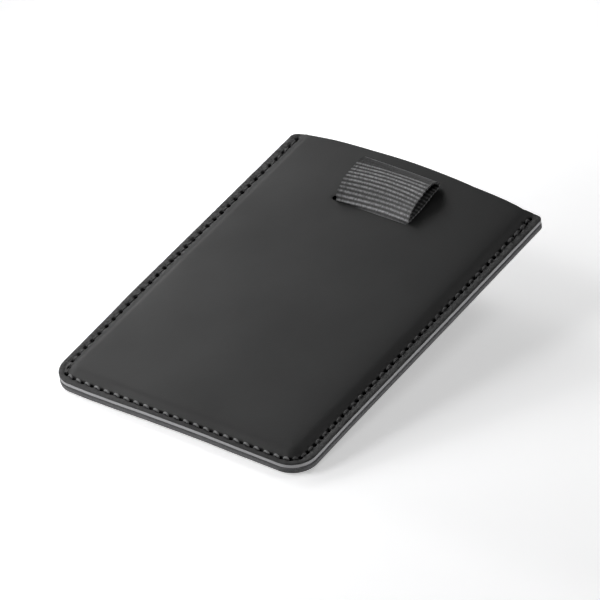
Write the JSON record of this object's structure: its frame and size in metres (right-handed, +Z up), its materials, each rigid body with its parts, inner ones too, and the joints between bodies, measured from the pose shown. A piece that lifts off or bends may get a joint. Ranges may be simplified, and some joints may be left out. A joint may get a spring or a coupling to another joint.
{
  "type": "card holder",
  "caption": "Slim sleeve for bank cards: two stiffened black covers sewn on three sides, radio-blocking foil inside, and a ribbon pull tab through a slot that lifts the cards.",
  "frame": {"origin": "centre of the flat back, on the surface the holder lies on", "axes": "+X to the right seen from the front, +Y along the length towards the open mouth, +Z up through the front cover"},
  "size_m": [0.07, 0.0996, 0.0076],
  "materials": {
    "coated_skin": "smooth matte black coating",
    "pale_board": "pale grey cut edge of the stiffener",
    "dark_board": "dark grey cut edge of the stiffener",
    "foil": "bright foil",
    "woven_lining": "fine black weave",
    "black_thread": "twisted polyester thread",
    "ribbed_ribbon": "cross-ribbed ribbon, dark grey"
  },
  "bodies": {
    "holder": {"back_cover": "coated_skin", "back_board": "dark_board", "back_shield": "foil", "back_lining": "woven_lining", "front_lining": "woven_lining", "front_shield": "foil", "front_board": "pale_board", "front_cover": "coated_skin", "needle_thread": "black_thread", "bobbin_thread": "black_thread", "anchor_stitch": "black_thread", "strap_back_run": "ribbed_ribbon"},
    "strap": {"strap_front_run": "ribbed_ribbon", "tab_tail": "ribbed_ribbon"},
    "tab": {"pull_tab": "ribbed_ribbon"},
    "cradle": {"strap_cradle": "ribbed_ribbon"}
  },
  "joints": [
    {"name": "tab_pull", "type": "slide", "parent": "holder", "child": "strap", "axis": [0, 1, 0], "range_m": [0, 0.06], "deforming": ["strap_front_run", "tab_tail"]},
    {"name": "tab_lift", "type": "hinge", "parent": "strap", "child": "tab", "pos_m": [-0.0013, 0.03075, 0.00397], "axis": [1, 0, 0], "range_deg": [0, 75]},
    {"name": "cradle_lift", "type": "slide", "parent": "holder", "child": "cradle", "axis": [0, 1, 0], "range_m": [0, 0.03], "deforming": ["strap_back_run"]}
  ],
  "couplings": [
    {"joint": "cradle_lift", "follows": "tab_pull", "ratio": 0.5}
  ]
}
